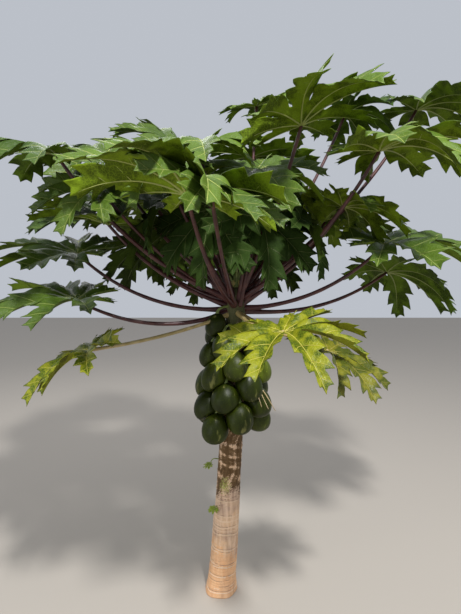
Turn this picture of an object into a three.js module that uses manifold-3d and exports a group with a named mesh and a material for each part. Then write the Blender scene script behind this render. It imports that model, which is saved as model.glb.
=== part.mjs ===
// A young papaya tree in fruit: one soft ringed trunk, a whorl of long leaf stalks
// from its tip, a deeply lobed blade on each stalk, and fruit packed round the trunk.
// Millimetres, +Z up. The origin is the middle of the flat cut where the trunk meets
// the ground, and +X is the side that the trunk leans to.

import * as THREE from 'three';
import { mergeVertices } from 'three/addons/utils/BufferGeometryUtils.js';
import Module from 'manifold-3d';

const wasm = await Module();
wasm.setup();

// Driving dimensions

const CLEAR = 0.3; // gap between pieces that touch on the real plant
const GOLDEN_ANGLE = 137.5; // degrees from one leaf or fruit to the next, up the trunk

const TRUNK_LEAN = 0.0803; // sideways run per mm of height at the ground
const TRUNK_STRAIGHTEN = 2.0e-5; // how fast that lean dies out, per mm
const TRUNK_TOP = 1530; // height of the growing point
const TRUNK_SIDES = 16;
// height and radius, from the root flare to the growing point
const TRUNK_TAPER = [
  [0, 84], [22, 76], [70, 69], [150, 66.5], [340, 65], [620, 59], [770, 57],
  [1000, 54], [1250, 50], [1400, 48], [1480, 45], [1512, 36], [TRUNK_TOP, 22],
];

const STALK_SIDES = 6;
const STALK_STEPS = 7;
const STALK_BASE_RADIUS = 15.5; // swollen foot on the trunk
const STALK_RADIUS = 10.5; // just past the foot
const STALK_TIP_RADIUS = 7;
const STALK_FOOT = 0.14; // part of the stalk over which the foot thins
const FULL_STALK_SIZE = 420; // blades from this size up have stalks of full thickness
const ROOT_DEPTH = 12; // how far a limb's axis starts under the bark, before it is cut clear
const STALK_LOWEST = 1398; // where the oldest stalk leaves the trunk
const STALK_SPAN = 105; // from there to the youngest stalk

const BLADE_THICKNESS = 0.0105; // of the blade's width
const BLADE_WIDTH = 1.68; // of the longest lobe
const STEM_LENGTH = 34; // the leaf's own short stem under the blade
const STEM_ABOVE = 5; // how far it stands out above the blade
const STEM_ROOM = 40; // how far the other blades keep from it

// One lobe: angle from the blade's outward line in degrees, length against the longest
const LOBES = [
  [0, 1], [36, 0.97], [-36, 0.97], [72, 0.88], [-72, 0.88],
  [108, 0.72], [-108, 0.72], [146, 0.5], [-146, 0.5],
];
// A lobe's edge from its foot to its tip: along the rib and out from it, for length 1
const LONG_LOBE_EDGE = [[0.33, 0.06], [0.5, 0.16], [0.55, 0.07], [0.74, 0.2]];
const SHORT_LOBE_EDGE = [[0.62, 0.17]];
const SHORT_LOBE = 0.8; // lobes under this length have the simpler edge
const SINUS = 0.2; // how far out the cuts between the lobes end
const BACK_NOTCH = 0.07; // how near the stalk the cut at the back comes

// One leaf a row. azimuth: the way it points, degrees anticlockwise from +X.
// reach and height: where the stalk meets the blade, from the trunk's tip line and
// the ground. size: longest lobe. pitch: how far the blade's outward line rises.
// roll: turn about that line. droop: how far a lobe bends down, root to tip.
// bow: how much steeper the stalk ends than its chord. Degrees and mm.
const LEAVES = [
  { azimuth: 190, reach: 590, height: 1815, size: 390, pitch: 10, roll: 2, droop: 40, bow: 16 },
  { azimuth: 178, reach: 770, height: 1690, size: 410, pitch: 6, roll: -16, droop: 46, bow: 24 },
  { azimuth: 192, reach: 735, height: 1475, size: 420, pitch: 4, roll: -10, droop: 50, bow: 26 },
  { azimuth: 212, reach: 700, height: 1285, size: 330, pitch: -24, roll: 8, droop: 56, bow: 6 },
  { azimuth: 254, reach: 640, height: 1865, size: 480, pitch: 20, roll: -10, droop: 66, bow: 18 },
  { azimuth: 303, reach: 460, height: 2170, size: 390, pitch: 27, roll: 10, droop: 58, bow: 8 },
  { azimuth: 333, reach: 655, height: 2095, size: 460, pitch: 10, roll: 2, droop: 80, bow: 16 },
  { azimuth: 36, reach: 620, height: 1880, size: 420, pitch: 0, roll: 12, droop: 60, bow: 14 },
  { azimuth: 358, reach: 705, height: 1730, size: 460, pitch: 4, roll: 26, droop: 60, bow: 22 },
  { azimuth: 17, reach: 850, height: 1600, size: 430, pitch: -20, roll: -6, droop: 72, bow: 20 },
  { azimuth: 286, reach: 600, height: 1385, size: 350, pitch: -8, roll: 10, droop: 58, bow: 10 },
  { azimuth: 310, reach: 560, height: 1290, size: 290, pitch: -26, roll: -10, droop: 50, bow: 4 },
  { azimuth: 207, reach: 800, height: 2060, size: 430, pitch: 4, roll: -10, droop: 74, bow: 18 },
  { azimuth: 163, reach: 700, height: 2200, size: 430, pitch: 10, roll: -26, droop: 66, bow: 12 },
  { azimuth: 128, reach: 560, height: 2320, size: 420, pitch: 20, roll: -16, droop: 66, bow: 10 },
  { azimuth: 55, reach: 185, height: 2430, size: 290, pitch: 20, roll: 0, droop: 64, bow: 4 },
  { azimuth: 239, reach: 300, height: 2130, size: 390, pitch: -12, roll: -8, droop: 64, bow: 6 },
  { azimuth: 55, reach: 770, height: 2000, size: 440, pitch: 6, roll: 10, droop: 66, bow: 14 },
  { azimuth: 94, reach: 700, height: 1880, size: 460, pitch: -44, roll: -6, droop: 62, bow: 16 },
  { azimuth: 124, reach: 780, height: 2030, size: 440, pitch: 8, roll: -8, droop: 68, bow: 14 },
  { azimuth: 156, reach: 830, height: 1940, size: 430, pitch: -2, roll: -8, droop: 60, bow: 18 },
  { azimuth: 2, reach: 860, height: 2370, size: 420, pitch: 4, roll: 2, droop: 74, bow: 14 },
  { azimuth: 72, reach: 620, height: 1740, size: 400, pitch: -48, roll: 0, droop: 56, bow: 14 },
  { azimuth: 109, reach: 560, height: 1640, size: 380, pitch: -36, roll: -6, droop: 60, bow: 12 },
  { azimuth: 84, reach: 300, height: 1990, size: 430, pitch: -62, roll: 4, droop: 48, bow: 4 },
  { azimuth: 138, reach: 680, height: 1765, size: 350, pitch: -46, roll: -6, droop: 50, bow: 8 },
  { azimuth: 112, reach: 600, height: 2050, size: 380, pitch: -32, roll: 0, droop: 54, bow: 8 },
];
// Turns that a blade tries in this order, until it touches nothing: pitch, roll, droop
const BLADE_TURNS = [
  [0, 0, 0], [8, 0, 0], [-8, 0, 0], [0, 12, 0], [0, -12, 0], [0, 0, -14], [0, 0, 14],
  [14, 0, -16], [-14, 0, 10], [10, 16, -10], [10, -16, -10], [-10, 16, 0], [-10, -16, 0],
];
const BLADE_SHRINK = 0.92; // and its size, each time that no turn is free

const FRUIT_COUNT = 27;
const FRUIT_CHAINS = 3; // every third fruit up the trunk is on the same branched stalk
const FRUIT_FIRST_AZIMUTH = 233;
const FRUIT_LOWEST = 868; // height of the lowest fruit's middle
const FRUIT_RISE = 18.5; // from one fruit to the next
const FRUIT_WIDTH = [131, 98]; // across, oldest and youngest
const FRUIT_LENGTH = [152, 114]; // from stalk to tip, oldest and youngest
const FRUIT_OFF_TRUNK = 7; // from the trunk's bark to the fruit's side
const FRUIT_STALK_RADIUS = 6.5;
// Half outline of a fruit, tip to stalk: radius and height against its half sizes
const FRUIT_OUTLINE = [[0, -1], [0.62, -0.76], [0.98, -0.2], [0.93, 0.32], [0.52, 0.82], [0, 0.97]];
const FRUIT_SIDES = 8;

const SHOOT_COUNT = 5;
const BUD_COUNT = 6;

const BARK = { color: 0xb59a80, roughness: 0.9 };
const STALK_SKIN = { color: 0x55303a, roughness: 0.45 };
const OLD_STALK_SKIN = { color: 0xb9ac74, roughness: 0.55 };
const BLADE_GREEN = { color: 0x3f6a28, roughness: 0.5 };
const OLD_BLADE_GREEN = { color: 0x9db03a, roughness: 0.55 };
const FRUIT_SKIN = { color: 0x3f6226, roughness: 0.35 };
const SHOOT_GREEN = { color: 0x86a552, roughness: 0.5 };
const OLD_LEAVES = [4, 11, 12]; // numbers of the leaves that have begun to yellow

const tree = new THREE.Group();
const UP = new THREE.Vector3(0, 0, 1);
const rad = THREE.MathUtils.degToRad;

// Solids

function solidOf(geometry) {
  const bare = geometry.clone();
  bare.deleteAttribute('normal');
  bare.deleteAttribute('uv');
  const merged = mergeVertices(bare, 1e-3);
  const vertProperties = new Float32Array(merged.attributes.position.array);
  const triVerts = new Uint32Array(merged.index.array);
  return new wasm.Manifold(new wasm.Mesh({ numProp: 3, vertProperties, triVerts }));
}

function largestPiece(solid) {
  const pieces = solid.decompose();
  pieces.sort((a, b) => b.volume() - a.volume());
  return pieces[0];
}

function geometryOf(solid) {
  const mesh = solid.getMesh();
  const geometry = new THREE.BufferGeometry();
  geometry.setAttribute('position', new THREE.BufferAttribute(mesh.vertProperties, 3));
  geometry.setIndex(new THREE.BufferAttribute(mesh.triVerts, 1));
  geometry.computeVertexNormals();
  return geometry;
}

function addPiece(name, solid, skin) {
  const mesh = new THREE.Mesh(geometryOf(solid), new THREE.MeshStandardMaterial({ ...skin, metalness: 0 }));
  mesh.name = name;
  tree.add(mesh);
}

// What is left of a solid when all that it touches is cut away from it
function cutClear(solid, others) {
  return others.reduce((left, other) => (touches(left, other) ? largestPiece(left.subtract(other)) : left), solid);
}

function joined(solids) {
  return solids.reduce((whole, solid) => whole.add(solid));
}

// Whether two solids share any space, with their boxes compared first
function touches(a, b) {
  const boxA = a.boundingBox();
  const boxB = b.boundingBox();
  for (let axis = 0; axis < 3; axis += 1) {
    if (boxA.min[axis] > boxB.max[axis] || boxB.min[axis] > boxA.max[axis]) {
      return false;
    }
  }
  return a.intersect(b).volume() > 0;
}

// A round limb along a curve, with its radius given by a function of 0 to 1
function limb(curve, radiusAt, sides, steps) {
  const geometry = new THREE.CylinderGeometry(1, 1, 1, sides, steps);
  const frames = curve.computeFrenetFrames(steps, false);
  const position = geometry.attributes.position;
  for (let i = 0; i < position.count; i += 1) {
    const along = position.getY(i) + 0.5;
    const step = Math.round(along * steps);
    const radius = radiusAt(along);
    const point = curve.getPoint(along);
    point.addScaledVector(frames.normals[step], radius * position.getX(i));
    point.addScaledVector(frames.binormals[step], -radius * position.getZ(i));
    position.setXYZ(i, point.x, point.y, point.z);
  }
  return solidOf(geometry);
}

// Trunk

function leanAt(height) {
  return TRUNK_LEAN * height - TRUNK_STRAIGHTEN * height * height;
}

function trunkRadiusAt(height) {
  const above = TRUNK_TAPER.findIndex(([level]) => level >= height);
  if (above <= 0) {
    return TRUNK_TAPER[0][1];
  }
  const [lowLevel, lowRadius] = TRUNK_TAPER[above - 1];
  const [highLevel, highRadius] = TRUNK_TAPER[above];
  return THREE.MathUtils.mapLinear(height, lowLevel, highLevel, lowRadius, highRadius);
}

// The trunk, or the same form with its sides moved out by a margin
function trunkSolid(margin) {
  const outline = [new THREE.Vector2(0, 0)];
  TRUNK_TAPER.forEach(([level, radius]) => outline.push(new THREE.Vector2(radius + margin, level)));
  outline.push(new THREE.Vector2(0, TRUNK_TOP));
  const geometry = new THREE.LatheGeometry(outline, TRUNK_SIDES);
  geometry.rotateX(Math.PI / 2);
  const position = geometry.attributes.position;
  for (let i = 0; i < position.count; i += 1) {
    position.setX(i, position.getX(i) + leanAt(position.getZ(i)));
  }
  return solidOf(geometry);
}

function heading(azimuth, rise) {
  const flat = Math.cos(rad(rise));
  return new THREE.Vector3(flat * Math.cos(rad(azimuth)), flat * Math.sin(rad(azimuth)), Math.sin(rad(rise)));
}

// A point at an azimuth, a distance from the bark and a height
function besideTrunk(azimuth, off, height) {
  const point = heading(azimuth, 0).multiplyScalar(trunkRadiusAt(height) + off);
  point.x += leanAt(height);
  point.z = height;
  return point;
}

// Leaf stalks

function bladeCentre(leaf) {
  const place = heading(leaf.azimuth, 0).multiplyScalar(leaf.reach);
  place.x += leanAt(STALK_LOWEST);
  place.z = leaf.height;
  return place;
}

// The older and lower a leaf, the lower its stalk leaves the trunk
function stalkFootHeight(leaf) {
  const lower = LEAVES.filter((other) => other.height < leaf.height).length;
  return STALK_LOWEST + (STALK_SPAN * lower) / (LEAVES.length - 1);
}

function stalkCurve(leaf) {
  const footHeight = stalkFootHeight(leaf);
  const foot = besideTrunk(leaf.azimuth, -ROOT_DEPTH, footHeight);
  const tip = bladeCentre(leaf);
  const chord = foot.distanceTo(tip);
  const rise = THREE.MathUtils.radToDeg(Math.asin((tip.z - foot.z) / chord));
  const first = foot.clone().addScaledVector(heading(leaf.azimuth, rise - leaf.bow), chord * 0.38);
  const last = tip.clone().addScaledVector(heading(leaf.azimuth, rise + leaf.bow), -chord * 0.33);
  return new THREE.CubicBezierCurve3(foot, first, last, tip);
}

// A small blade has a thinner stalk, with the same tip
function stalkRadiusAt(leaf, along) {
  const stout = Math.min(1, leaf.size / FULL_STALK_SIZE);
  const middle = STALK_RADIUS * stout;
  if (along < STALK_FOOT) {
    return THREE.MathUtils.mapLinear(along, 0, STALK_FOOT, STALK_BASE_RADIUS * stout, middle);
  }
  return THREE.MathUtils.mapLinear(along, STALK_FOOT, 1, middle, STALK_TIP_RADIUS);
}

// The part of the whole curve at which the leaf's own stem takes over
function stalkEnd(leaf) {
  return 1 - STEM_LENGTH / stalkCurve(leaf).getLength();
}

// The leaf's own short stem, which carries on straight from the end of its stalk
function stemSolid(leaf, margin) {
  const whole = stalkCurve(leaf);
  const start = whole.getPoint(stalkEnd(leaf));
  const along = whole.getTangent(stalkEnd(leaf));
  const line = new THREE.LineCurve3(
    start.clone().addScaledVector(along, -margin),
    start.clone().addScaledVector(along, STEM_LENGTH + STEM_ABOVE),
  );
  return limb(line, () => STALK_TIP_RADIUS + margin, STALK_SIDES, 1);
}

class StalkBelowStem extends THREE.Curve {
  constructor(leaf) {
    super();
    this.whole = stalkCurve(leaf);
    this.end = stalkEnd(leaf) - CLEAR / this.whole.getLength();
  }

  getPoint(along) {
    return this.whole.getPoint(along * this.end);
  }
}

function stalkSolid(leaf, margin) {
  const curve = new StalkBelowStem(leaf);
  return limb(curve, (along) => stalkRadiusAt(leaf, along) + margin, STALK_SIDES, STALK_STEPS);
}

// Blades

// Side, outward and upward directions of a blade
function bladeFrame(leaf) {
  const out = heading(leaf.azimuth, leaf.pitch);
  const side = new THREE.Vector3().crossVectors(UP, out).normalize();
  side.applyAxisAngle(out, rad(leaf.roll));
  const normal = new THREE.Vector3().crossVectors(out, side).normalize();
  return { out, side, normal };
}

// How far each lobe bends, in turn round the blade: uneven, the same for every leaf of one number
function lobeDroop(leaf, lobe, number) {
  const swing = Math.sin(number * 2.4 + lobe * 1.9) * 0.22;
  return rad(leaf.droop * (1 + swing) * LOBES[lobe][1]);
}

function nearestLobe(angle) {
  let best = 0;
  LOBES.forEach(([axis], i) => {
    if (Math.abs(axis - angle) < Math.abs(LOBES[best][0] - angle)) {
      best = i;
    }
  });
  return best;
}

const LOBE_RISE = rad(14); // how steeply a lobe leaves the blade's centre

// A point of the flat blade, bent with its lobe along an arc of even curvature
function bentPoint(leaf, number, frame, x, y, lift) {
  const distance = Math.hypot(x, y);
  const angle = THREE.MathUtils.radToDeg(Math.atan2(y, x));
  const lobe = nearestLobe(angle);
  const axis = rad(LOBES[lobe][0]);
  const along = distance * Math.cos(rad(angle) - axis);
  const across = distance * Math.sin(rad(angle) - axis);
  const curvature = lobeDroop(leaf, lobe, number) / leaf.size;
  const slope = LOBE_RISE - curvature * along;
  const run = (Math.sin(LOBE_RISE) - Math.sin(slope)) / curvature - lift * Math.sin(slope);
  const rise = (Math.cos(slope) - Math.cos(LOBE_RISE)) / curvature + lift * Math.cos(slope);
  const outward = run * Math.cos(axis) - across * Math.sin(axis);
  const sideways = run * Math.sin(axis) + across * Math.cos(axis);
  return bladeCentre(leaf)
    .addScaledVector(frame.out, outward)
    .addScaledVector(frame.side, sideways)
    .addScaledVector(frame.normal, rise);
}

function bladeOutline(size) {
  const polar = (radius, angle) => new THREE.Vector2(radius * Math.cos(rad(angle)), radius * Math.sin(rad(angle)));
  const lobes = [...LOBES].sort((a, b) => a[0] - b[0]);
  const points = [polar(size * BACK_NOTCH, 180)];
  lobes.forEach(([angle, length], i) => {
    const reach = size * length;
    const edge = length < SHORT_LOBE ? SHORT_LOBE_EDGE : LONG_LOBE_EDGE;
    const spot = (along, across) => {
      const place = new THREE.Vector2(along * reach, across * reach);
      return place.rotateAround(new THREE.Vector2(), rad(angle));
    };
    edge.forEach(([along, across]) => points.push(spot(along, -across)));
    points.push(spot(1, 0));
    [...edge].reverse().forEach(([along, across]) => points.push(spot(along, across)));
    if (i < lobes.length - 1) {
      const shorter = Math.min(length, lobes[i + 1][1]);
      points.push(polar(size * SINUS * shorter, (angle + lobes[i + 1][0]) / 2));
    }
  });
  return points;
}

function leafSolid(leaf, number) {
  const thickness = BLADE_THICKNESS * BLADE_WIDTH * leaf.size;
  const shape = new THREE.Shape(bladeOutline(leaf.size));
  const geometry = new THREE.ExtrudeGeometry(shape, { depth: thickness, bevelEnabled: false, steps: 1 });
  const frame = bladeFrame(leaf);
  const position = geometry.attributes.position;
  for (let i = 0; i < position.count; i += 1) {
    const lift = position.getZ(i) - thickness / 2;
    const point = bentPoint(leaf, number, frame, position.getX(i), position.getY(i), lift);
    position.setXYZ(i, point.x, point.y, point.z);
  }
  return solidOf(geometry).add(stemSolid(leaf, 0));
}

// The leaf as its row says, or turned and then smaller until it is clear of all the others
function settledLeaf(leaf, number, placed) {
  for (let size = leaf.size; size > leaf.size / 2; size *= BLADE_SHRINK) {
    for (const [pitch, roll, droop] of BLADE_TURNS) {
      const turned = {
        ...leaf, size, pitch: leaf.pitch + pitch, roll: leaf.roll + roll, droop: leaf.droop + droop,
      };
      const solid = leafSolid(turned, number);
      if (!placed.some((other) => touches(solid, other))) {
        return solid;
      }
    }
  }
  throw new Error(`leaf ${number} finds no free place`);
}

// Fruit

function fruitPlace(index) {
  const age = 1 - index / (FRUIT_COUNT - 1);
  const width = THREE.MathUtils.lerp(FRUIT_WIDTH[1], FRUIT_WIDTH[0], Math.min(1, age * 1.6));
  const length = THREE.MathUtils.lerp(FRUIT_LENGTH[1], FRUIT_LENGTH[0], Math.min(1, age * 1.6));
  const height = FRUIT_LOWEST + FRUIT_RISE * index;
  const azimuth = FRUIT_FIRST_AZIMUTH + GOLDEN_ANGLE * index;
  return { width, length, height, azimuth };
}

function fruitBody(fruit, margin) {
  const outline = FRUIT_OUTLINE.map(([radius, height]) => new THREE.Vector2(
    radius > 0 ? radius * (fruit.width / 2 + margin) : 0,
    height * (fruit.length / 2 + margin),
  ));
  const geometry = new THREE.LatheGeometry(outline, FRUIT_SIDES);
  geometry.rotateX(Math.PI / 2);
  const middle = besideTrunk(fruit.azimuth, FRUIT_OFF_TRUNK + fruit.width / 2, fruit.height);
  geometry.translate(middle.x, middle.y, middle.z);
  return solidOf(geometry);
}

function fruitArm(points, margin) {
  const curve = new THREE.CatmullRomCurve3(points);
  return limb(curve, () => FRUIT_STALK_RADIUS + margin, 4, points.length - 1);
}

// Where a fruit's arm turns outwards, close to the bark
function armKnee(fruit) {
  return besideTrunk(fruit.azimuth, FRUIT_STALK_RADIUS + 3, fruit.height + fruit.length / 2 + 6);
}

// Fruits on one branched stalk: it runs along the bark, and each fruit hangs from an arm of it
function fruitGroup(indices, margin) {
  const fruits = indices.map(fruitPlace);
  const solids = fruits.map((fruit) => fruitBody(fruit, margin));
  const alongBark = [];
  fruits.forEach((fruit, i) => {
    const knee = armKnee(fruit);
    const socket = fruit.height + fruit.length * 0.4;
    const crown = besideTrunk(fruit.azimuth, FRUIT_OFF_TRUNK + fruit.width * 0.46, socket);
    solids.push(fruitArm([knee, crown], margin));
    if (i > 0) {
      const azimuth = fruit.azimuth - (GOLDEN_ANGLE * FRUIT_CHAINS - 360) / 2;
      const height = (knee.z + armKnee(fruits[i - 1]).z) / 2;
      alongBark.push(besideTrunk(azimuth, FRUIT_STALK_RADIUS + 4, height));
    }
    alongBark.push(knee);
  });
  const middle = fruits[Math.floor(fruits.length / 2)];
  const root = besideTrunk(middle.azimuth, -ROOT_DEPTH, armKnee(middle).z + 6);
  solids.push(fruitArm(alongBark, margin));
  solids.push(fruitArm([root, armKnee(middle)], margin));
  return joined(solids);
}

// Every third fruit up the trunk is the nearest to one side, so those share a stalk
function fruitGroups() {
  const all = [...Array(FRUIT_COUNT).keys()];
  return [...Array(FRUIT_CHAINS).keys()].map((first) => all.filter((index) => index % FRUIT_CHAINS === first));
}

// Growing tip: a cone of young shoots with flower buds at its foot

function youngShoot(index) {
  const azimuth = index * GOLDEN_ANGLE;
  const length = 250 - 28 * index;
  const rise = 84 - 5 * index;
  const foot = new THREE.Vector3(leanAt(TRUNK_TOP), 0, TRUNK_TOP + 12);
  const middle = foot.clone().addScaledVector(heading(azimuth, rise - 8), length * 0.6);
  const tip = middle.clone().addScaledVector(heading(azimuth, rise + 4), length * 0.4);
  const stalk = limb(new THREE.CatmullRomCurve3([foot, middle, tip]), (along) => 6.5 - 2.5 * along, 5, 2);
  const folded = new THREE.ConeGeometry(17, length * 0.55, 5, 1);
  folded.rotateX(Math.PI / 2);
  folded.scale(1, 0.6, 1);
  folded.rotateZ(rad(azimuth));
  folded.translate(tip.x, tip.y, tip.z + length * 0.12);
  return stalk.add(solidOf(folded));
}

function flowerBud(index) {
  const azimuth = index * GOLDEN_ANGLE + 40;
  const bud = new THREE.SphereGeometry(1, 5, 3);
  bud.scale(8, 8, 15);
  const place = heading(azimuth, 0).multiplyScalar(20);
  bud.translate(leanAt(TRUNK_TOP) + place.x, place.y, TRUNK_TOP + 22);
  return solidOf(bud);
}

function growingTip() {
  const foot = new THREE.Vector3(leanAt(TRUNK_TOP), 0, TRUNK_TOP + CLEAR);
  const top = foot.clone().setZ(TRUNK_TOP + 60);
  const cone = limb(new THREE.LineCurve3(foot, top), (along) => 20 - 10 * along, 8, 1);
  const shoots = [...Array(SHOOT_COUNT).keys()].map(youngShoot);
  const buds = [...Array(BUD_COUNT).keys()].map(flowerBud);
  return joined([cone, ...shoots, ...buds]);
}

// The whole tree

function numbered(name, number) {
  return `${name}_${String(number).padStart(2, '0')}`;
}

function isOld(number) {
  return OLD_LEAVES.includes(number);
}

const placed = [];
const trunk = trunkSolid(0);
const roundTrunk = trunkSolid(CLEAR);
addPiece('trunk', trunk, BARK);
placed.push(trunk);

const tip = growingTip();
addPiece('growing_tip', tip, SHOOT_GREEN);
placed.push(tip);

// Each piece as it is, and with its sides moved out by the gap, to cut the next ones by
const roundPlaced = [roundTrunk, tip];
LEAVES.forEach((leaf, i) => {
  const stalk = cutClear(stalkSolid(leaf, 0), roundPlaced);
  roundPlaced.push(stalkSolid(leaf, CLEAR));
  addPiece(numbered('leaf_stalk', i + 1), stalk, isOld(i + 1) ? OLD_STALK_SKIN : STALK_SKIN);
  placed.push(stalk);
});

fruitGroups().forEach((indices, i) => {
  const group = cutClear(fruitGroup(indices, 0), roundPlaced);
  roundPlaced.push(fruitGroup(indices, CLEAR));
  addPiece(numbered('fruit_group', i + 1), group, FRUIT_SKIN);
  placed.push(group);
});

LEAVES.forEach((leaf, i) => {
  const keptFree = LEAVES.slice(i + 1).map((later) => stemSolid(later, STEM_ROOM));
  const solid = settledLeaf(leaf, i + 1, [...placed, ...keptFree]);
  addPiece(numbered('leaf', i + 1), solid, isOld(i + 1) ? OLD_BLADE_GREEN : BLADE_GREEN);
  placed.push(solid);
});

export default tree;
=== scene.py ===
"""A young papaya tree in fruit: its looks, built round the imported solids. Metres, +Z up."""

import math
from collections import namedtuple

import bmesh
import bpy
import numpy as np
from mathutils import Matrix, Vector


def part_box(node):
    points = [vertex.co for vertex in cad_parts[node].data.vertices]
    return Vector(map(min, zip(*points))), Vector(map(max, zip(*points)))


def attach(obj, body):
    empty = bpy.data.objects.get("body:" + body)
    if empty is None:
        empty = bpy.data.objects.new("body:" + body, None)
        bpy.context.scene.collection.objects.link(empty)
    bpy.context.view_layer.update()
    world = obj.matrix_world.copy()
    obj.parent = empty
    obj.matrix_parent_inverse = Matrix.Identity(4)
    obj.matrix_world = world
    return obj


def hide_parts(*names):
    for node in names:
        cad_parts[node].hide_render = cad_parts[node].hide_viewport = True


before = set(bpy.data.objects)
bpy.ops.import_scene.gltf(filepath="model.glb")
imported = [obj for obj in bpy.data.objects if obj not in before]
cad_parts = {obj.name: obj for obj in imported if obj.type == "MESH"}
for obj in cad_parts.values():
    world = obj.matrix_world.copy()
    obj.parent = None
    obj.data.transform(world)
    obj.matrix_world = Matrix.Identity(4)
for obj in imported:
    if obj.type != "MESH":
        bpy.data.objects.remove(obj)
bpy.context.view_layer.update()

# Sizes of the trunk, stalks and fruit, as in the part's source

GOLDEN_ANGLE = 137.5
TRUNK_LEAN = 0.0803
TRUNK_STRAIGHTEN = 0.02
TRUNK_TOP = 1.53
TRUNK_LEVELS = [0, 0.022, 0.07, 0.15, 0.34, 0.62, 0.77, 1.000, 1.25, 1.4, 1.48, 1.512, TRUNK_TOP]
TRUNK_RADII = [0.084, 0.076, 0.069, 0.0665, 0.065, 0.059, 0.057, 0.054, 0.05, 0.048, 0.045, 0.036, 0.022]

STALK_BASE_RADIUS = 0.0155
STALK_RADIUS = 0.0105
STALK_TIP_RADIUS = 0.007
STALK_FOOT = 0.14
FULL_STALK_SIZE = 0.42
ROOT_DEPTH = 0.012
STALK_LOWEST = 1.398
STALK_SPAN = 0.105
STALK_LEAVES = 0.38  # a stalk's curve: its two handles, as parts of its chord
STALK_ARRIVES = 0.33

FRUIT_COUNT = 27
FRUIT_CHAINS = 3
FRUIT_FIRST_AZIMUTH = 233
FRUIT_LOWEST = 0.868
FRUIT_RISE = 0.0185
FRUIT_WIDTH = (0.131, 0.098)
FRUIT_LENGTH = (0.152, 0.114)
FRUIT_OFF_TRUNK = 0.007

SHOOT_COUNT = 5
BUD_COUNT = 6

# Leaves, as in the part's source

Leaf = namedtuple("Leaf", "azimuth reach height size pitch roll droop bow")
LEAVES = [Leaf(*row) for row in (
    (190, 0.59, 1.815, 0.39, 10, 2, 40, 16),
    (178, 0.77, 1.69, 0.41, 6, -16, 46, 24),
    (192, 0.735, 1.475, 0.42, 4, -10, 50, 26),
    (212, 0.7, 1.285, 0.33, -24, 8, 56, 6),
    (254, 0.64, 1.865, 0.48, 20, -10, 66, 18),
    (303, 0.46, 2.17, 0.39, 27, 10, 58, 8),
    (333, 0.655, 2.095, 0.46, 10, 2, 80, 16),
    (36, 0.62, 1.88, 0.42, 0, 12, 60, 14),
    (358, 0.705, 1.73, 0.46, 4, 26, 60, 22),
    (17, 0.85, 1.6, 0.43, -20, -6, 72, 20),
    (286, 0.6, 1.385, 0.35, -8, 10, 58, 10),
    (310, 0.56, 1.29, 0.29, -26, -10, 50, 4),
    (207, 0.8, 2.06, 0.43, 4, -10, 74, 18),
    (163, 0.7, 2.2, 0.43, 10, -26, 66, 12),
    (128, 0.56, 2.32, 0.42, 20, -16, 66, 10),
    (55, 0.185, 2.43, 0.29, 20, 0, 64, 4),
    (239, 0.3, 2.13, 0.39, -12, -8, 64, 6),
    (55, 0.77, 2.0, 0.44, 6, 10, 66, 14),
    (94, 0.7, 1.88, 0.46, -44, -6, 62, 16),
    (124, 0.78, 2.03, 0.44, 8, -8, 68, 14),
    (156, 0.83, 1.94, 0.43, -2, -8, 60, 18),
    (2, 0.86, 2.37, 0.42, 4, 2, 74, 14),
    (72, 0.62, 1.74, 0.4, -48, 0, 56, 14),
    (109, 0.56, 1.64, 0.38, -36, -6, 60, 12),
    (84, 0.3, 1.99, 0.43, -62, 4, 48, 4),
    (138, 0.68, 1.765, 0.35, -46, -6, 50, 8),
    (112, 0.6, 2.05, 0.38, -32, 0, 54, 8),
)]
# More leaves, by tint, in between: the source has no room for them
MORE_LEAVES = {
    "shade": [
        Leaf(100, 0.26, 1.93, 0.4, -55, 0, 60, 4),
        Leaf(147, 0.33, 1.85, 0.38, -50, 6, 60, 4),
        Leaf(60, 0.33, 1.88, 0.38, -50, -6, 60, 4),
        Leaf(240, 0.2, 1.88, 0.38, -68, 0, 40, 4),
        Leaf(300, 0.2, 1.86, 0.37, -68, 0, 40, 4),
        Leaf(196, 0.33, 1.93, 0.36, -60, 0, 44, 4),
        Leaf(342, 0.3, 1.86, 0.33, -60, 0, 44, 4),
    ],
    "deep": [
        Leaf(176, 0.43, 2.0, 0.4, 4, -26, 75, 8),
        Leaf(30, 0.38, 2.02, 0.38, -10, 16, 80, 8),
        Leaf(14, 0.56, 2.38, 0.34, -6, -8, 84, 8),
    ],
    "fresh": [
        Leaf(352, 0.5, 1.9, 0.34, -10, -10, 72, 14),
        Leaf(10, 0.17, 1.98, 0.31, -6, 0, 60, 4),
        Leaf(150, 0.19, 2.06, 0.33, -8, 0, 60, 4),
    ],
    "green": [
        Leaf(207, 0.64, 1.95, 0.3, -16, -34, 60, 12),
        Leaf(263, 0.74, 1.87, 0.32, -12, -24, 40, 12),
        Leaf(218, 0.4, 2.06, 0.38, -22, -14, 64, 6),
        Leaf(290, 0.25, 2.03, 0.36, -20, 10, 60, 4),
        Leaf(70, 0.25, 2.2, 0.4, -10, 0, 60, 6),
    ],
}
FIRST_MORE_NUMBER = 60  # a leaf's number sets its unevenness; each tint's added ones count from here
BLADE_TURNS = [
    (0, 0, 0), (8, 0, 0), (-8, 0, 0), (0, 12, 0), (0, -12, 0), (0, 0, -14), (0, 0, 14),
    (14, 0, -16), (-14, 0, 10), (10, 16, -10), (10, -16, -10), (-10, 16, 0), (-10, -16, 0),
]
BLADE_SHRINK = 0.92
BLADE_THICKNESS = 0.0105
BLADE_WIDTH = 1.68
LOBE_RISE = math.radians(14)

# Lobes from one side of the blade to the other; turn is a lobe's place in the source's list
Lobe = namedtuple("Lobe", "angle length turn")
LOBES = [
    Lobe(-146, 0.5, 8), Lobe(-108, 0.72, 6), Lobe(-72, 0.88, 4), Lobe(-36, 0.97, 2), Lobe(0, 1, 0),
    Lobe(36, 0.97, 1), Lobe(72, 0.88, 3), Lobe(108, 0.72, 5), Lobe(146, 0.5, 7),
]

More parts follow.
